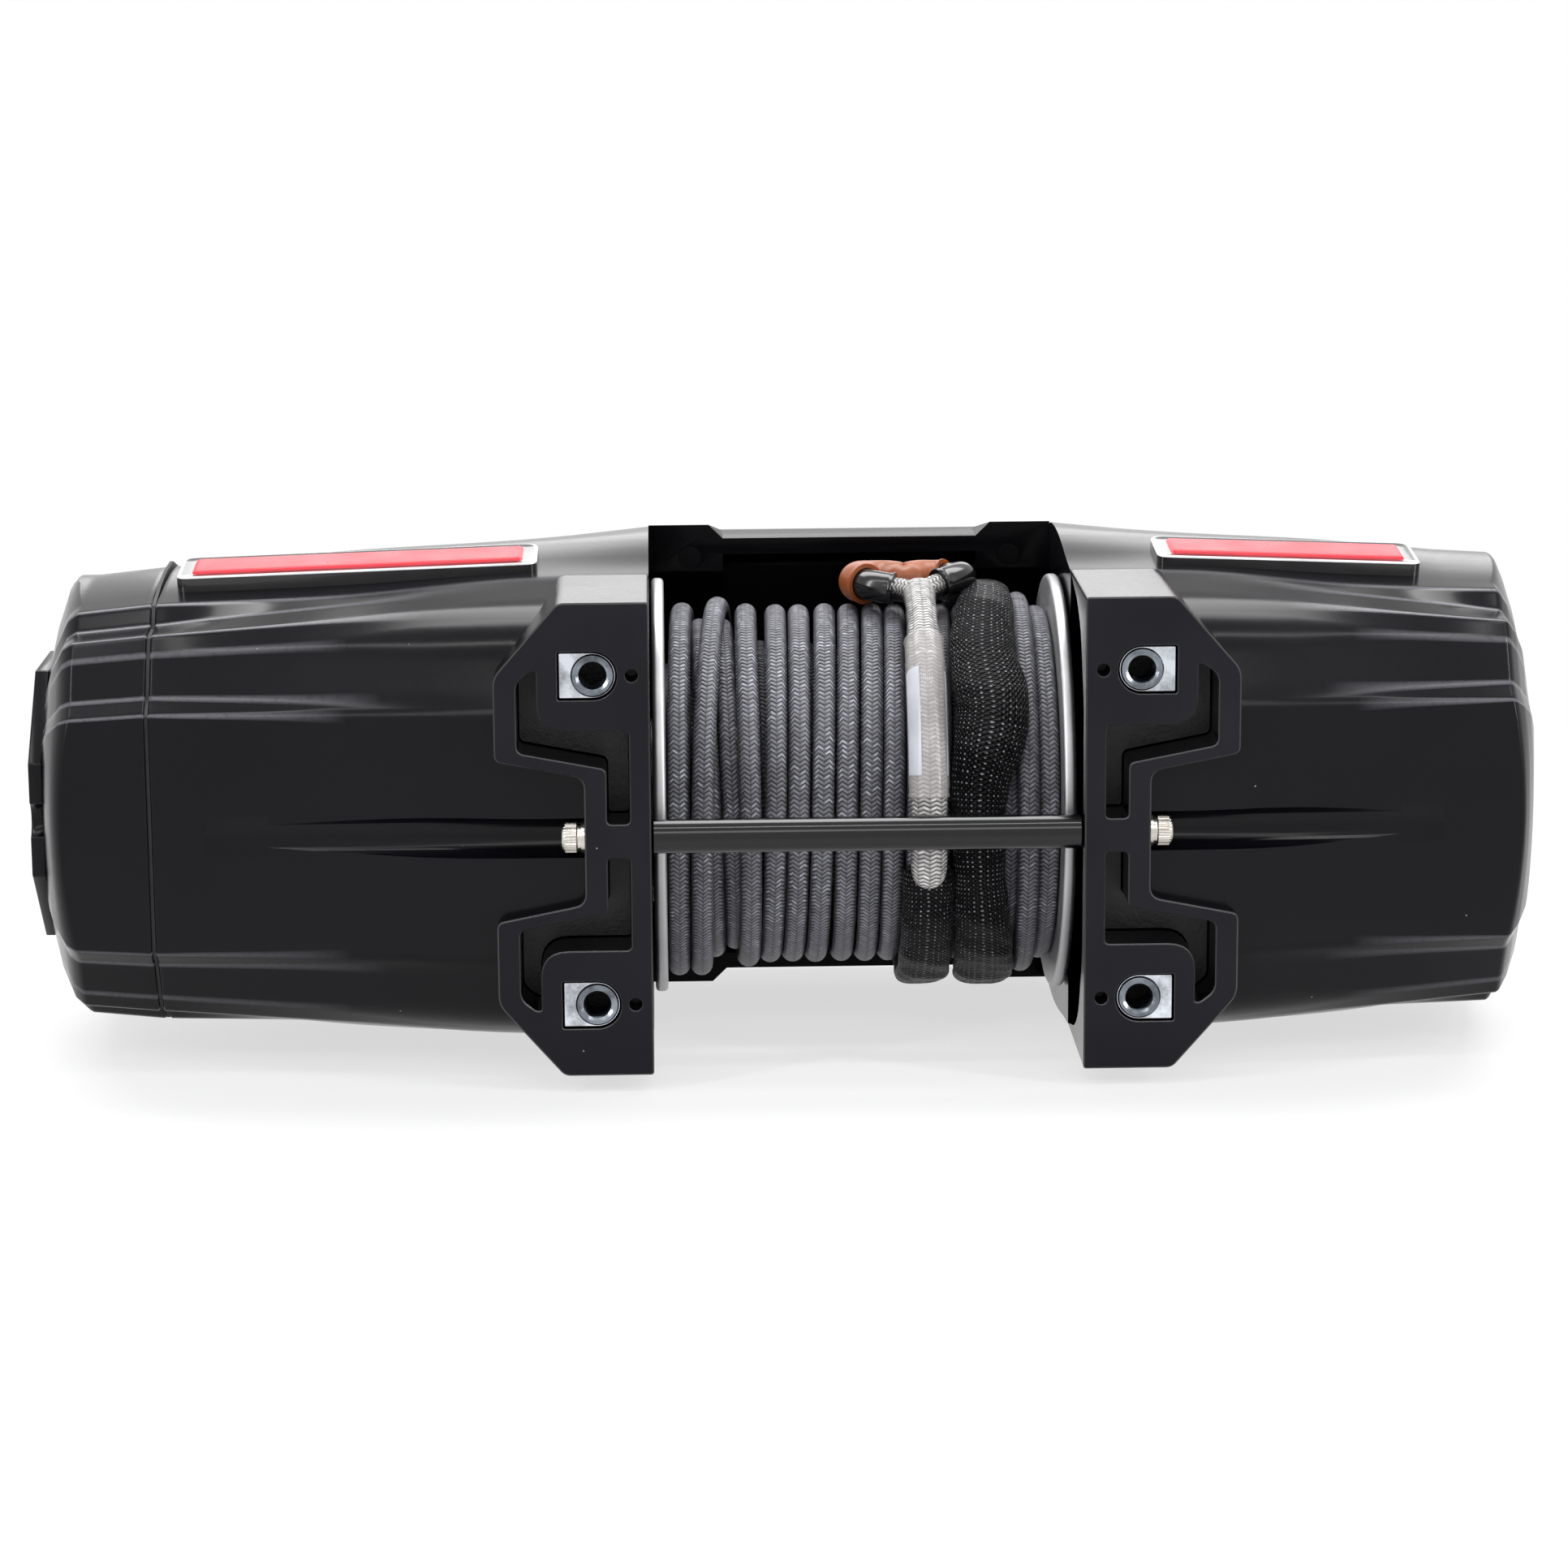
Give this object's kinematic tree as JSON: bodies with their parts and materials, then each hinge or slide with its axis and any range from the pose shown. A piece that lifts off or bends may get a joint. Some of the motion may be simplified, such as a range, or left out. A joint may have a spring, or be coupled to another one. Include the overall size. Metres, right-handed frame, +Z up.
{
  "type": "electric recovery winch",
  "caption": "Compact electric winch with a drum of braided rope between a motor housing and a planetary gear housing, a tie rod, a rear cover and a clutch dial.",
  "frame": {"origin": "centre of the four-bolt pattern, on the plane of the feet's mounting faces", "axes": "+X along the drum towards the motor, +Y away from the mounting faces, +Z up across the drum as pictured"},
  "size_m": [0.3553, 0.1215, 0.1174],
  "materials": {
    "housing_coat": "semi-gloss black coat over die-cast alloy",
    "cast_alloy": "pale satin cast alloy",
    "gear_steel": "machined, oiled",
    "stainless": "bright, knurled heads",
    "zinc": "bright zinc",
    "rope": "braided synthetic rope, blue-grey",
    "rope_cover": "coarse black woven sleeve",
    "shrink": "clear heat-shrink",
    "black_plastic": "gloss black",
    "amber": "translucent amber",
    "badge": "blank domed plate, black with a red field",
    "rubber": "matt",
    "bronze": "sintered bronze",
    "copper": "copper, varnished",
    "ferrite": "ferrite",
    "carbon": "carbon",
    "insulator": "moulded insulator"
  },
  "bodies": {
    "housing": {"gear_housing": "housing_coat", "motor_housing": "housing_coat", "end_cap": "housing_coat", "end_cap_gasket": "rubber", "end_cap_screws": "gear_steel", "drum_cover": "housing_coat", "cover_screws": "stainless", "cover_plugs": "housing_coat", "tie_rod": "housing_coat", "tie_rod_screws": "stainless", "tie_rod_washers": "stainless", "mount_nuts": "zinc", "gear_side_plate": "badge", "motor_side_plate": "badge", "drum_bushes": "bronze", "drum_seals": "rubber", "ring_gear": "gear_steel", "clutch_ring_gear": "gear_steel", "motor_end_plate": "cast_alloy", "motor_can": "gear_steel", "magnets": "ferrite", "brush_plate": "bronze", "brushes": "carbon", "brush_springs": "gear_steel", "motor_bearings": "stainless", "terminal_studs": "bronze", "terminal_insulators": "insulator", "terminal_nuts": "zinc"},
    "drum": {"drum": "cast_alloy", "rope_core": "rope", "rope_wraps": "rope", "rope_sleeve": "rope_cover", "rope_splice": "rope", "heat_shrink": "shrink", "thimble_tube": "black_plastic", "thimble_sleeve": "amber", "rope_anchor_screw": "gear_steel", "output_carrier": "gear_steel"},
    "second_stage": {"third_sun": "gear_steel", "second_carrier": "gear_steel"},
    "first_stage": {"second_sun": "gear_steel", "first_carrier": "gear_steel"},
    "motor": {"first_sun": "gear_steel", "drive_shaft": "gear_steel", "motor_shaft": "gear_steel", "armature_core": "gear_steel", "armature_windings": "copper", "commutator": "copper"},
    "dial": {"clutch_dial": "housing_coat"},
    "lock": {"clutch_lock": "gear_steel"},
    "third_planet_a": {"third_planet_a": "gear_steel"},
    "third_planet_b": {"third_planet_b": "gear_steel"},
    "third_planet_c": {"third_planet_c": "gear_steel"},
    "second_planet_a": {"second_planet_a": "gear_steel"},
    "second_planet_b": {"second_planet_b": "gear_steel"},
    "second_planet_c": {"second_planet_c": "gear_steel"},
    "first_planet_a": {"first_planet_a": "gear_steel"},
    "first_planet_b": {"first_planet_b": "gear_steel"},
    "first_planet_c": {"first_planet_c": "gear_steel"}
  },
  "joints": [
    {"name": "drum_spin", "type": "hinge", "parent": "housing", "child": "drum", "pos_m": [0, 0.0625, 0], "axis": [1, 0, 0], "continuous": true},
    {"name": "second_stage_spin", "type": "hinge", "parent": "housing", "child": "second_stage", "pos_m": [0, 0.0625, 0], "axis": [1, 0, 0], "continuous": true},
    {"name": "first_stage_spin", "type": "hinge", "parent": "housing", "child": "first_stage", "pos_m": [0, 0.0625, 0], "axis": [1, 0, 0], "continuous": true},
    {"name": "motor_spin", "type": "hinge", "parent": "housing", "child": "motor", "pos_m": [0, 0.0625, 0], "axis": [1, 0, 0], "continuous": true},
    {"name": "third_planet_a_spin", "type": "hinge", "parent": "drum", "child": "third_planet_a", "pos_m": [0, 0.0841, 0], "axis": [1, 0, 0], "continuous": true},
    {"name": "third_planet_b_spin", "type": "hinge", "parent": "drum", "child": "third_planet_b", "pos_m": [0, 0.0517, 0.01871], "axis": [1, 0, 0], "continuous": true},
    {"name": "third_planet_c_spin", "type": "hinge", "parent": "drum", "child": "third_planet_c", "pos_m": [0, 0.0517, -0.01871], "axis": [1, 0, 0], "continuous": true},
    {"name": "second_planet_a_spin", "type": "hinge", "parent": "second_stage", "child": "second_planet_a", "pos_m": [0, 0.0841, 0], "axis": [1, 0, 0], "continuous": true},
    {"name": "second_planet_b_spin", "type": "hinge", "parent": "second_stage", "child": "second_planet_b", "pos_m": [0, 0.0517, 0.01871], "axis": [1, 0, 0], "continuous": true},
    {"name": "second_planet_c_spin", "type": "hinge", "parent": "second_stage", "child": "second_planet_c", "pos_m": [0, 0.0517, -0.01871], "axis": [1, 0, 0], "continuous": true},
    {"name": "first_planet_a_spin", "type": "hinge", "parent": "first_stage", "child": "first_planet_a", "pos_m": [0, 0.0841, 0], "axis": [1, 0, 0], "continuous": true},
    {"name": "first_planet_b_spin", "type": "hinge", "parent": "first_stage", "child": "first_planet_b", "pos_m": [0, 0.0517, 0.01871], "axis": [1, 0, 0], "continuous": true},
    {"name": "first_planet_c_spin", "type": "hinge", "parent": "first_stage", "child": "first_planet_c", "pos_m": [0, 0.0517, -0.01871], "axis": [1, 0, 0], "continuous": true},
    {"name": "dial_turn", "type": "hinge", "parent": "housing", "child": "dial", "pos_m": [0, 0.0625, 0], "axis": [-1, 0, 0], "range_deg": [0, 90]},
    {"name": "lock_slide", "type": "slide", "parent": "housing", "child": "lock", "axis": [-1, 0, 0], "range_m": [0, 0.006]}
  ],
  "couplings": [
    {"joint": "second_stage_spin", "follows": "drum_spin", "ratio": 5.1429},
    {"joint": "first_stage_spin", "follows": "drum_spin", "ratio": 26.449},
    {"joint": "motor_spin", "follows": "drum_spin", "ratio": 136.02},
    {"joint": "third_planet_a_spin", "follows": "drum_spin", "ratio": -2.6364},
    {"joint": "third_planet_b_spin", "follows": "drum_spin", "ratio": -2.6364},
    {"joint": "third_planet_c_spin", "follows": "drum_spin", "ratio": -2.6364},
    {"joint": "second_planet_a_spin", "follows": "drum_spin", "ratio": -13.558},
    {"joint": "second_planet_b_spin", "follows": "drum_spin", "ratio": -13.558},
    {"joint": "second_planet_c_spin", "follows": "drum_spin", "ratio": -13.558},
    {"joint": "first_planet_a_spin", "follows": "drum_spin", "ratio": -69.729},
    {"joint": "first_planet_b_spin", "follows": "drum_spin", "ratio": -69.729},
    {"joint": "first_planet_c_spin", "follows": "drum_spin", "ratio": -69.729},
    {"joint": "lock_slide", "follows": "dial_turn", "m_per_rad": 0.0038197}
  ]
}
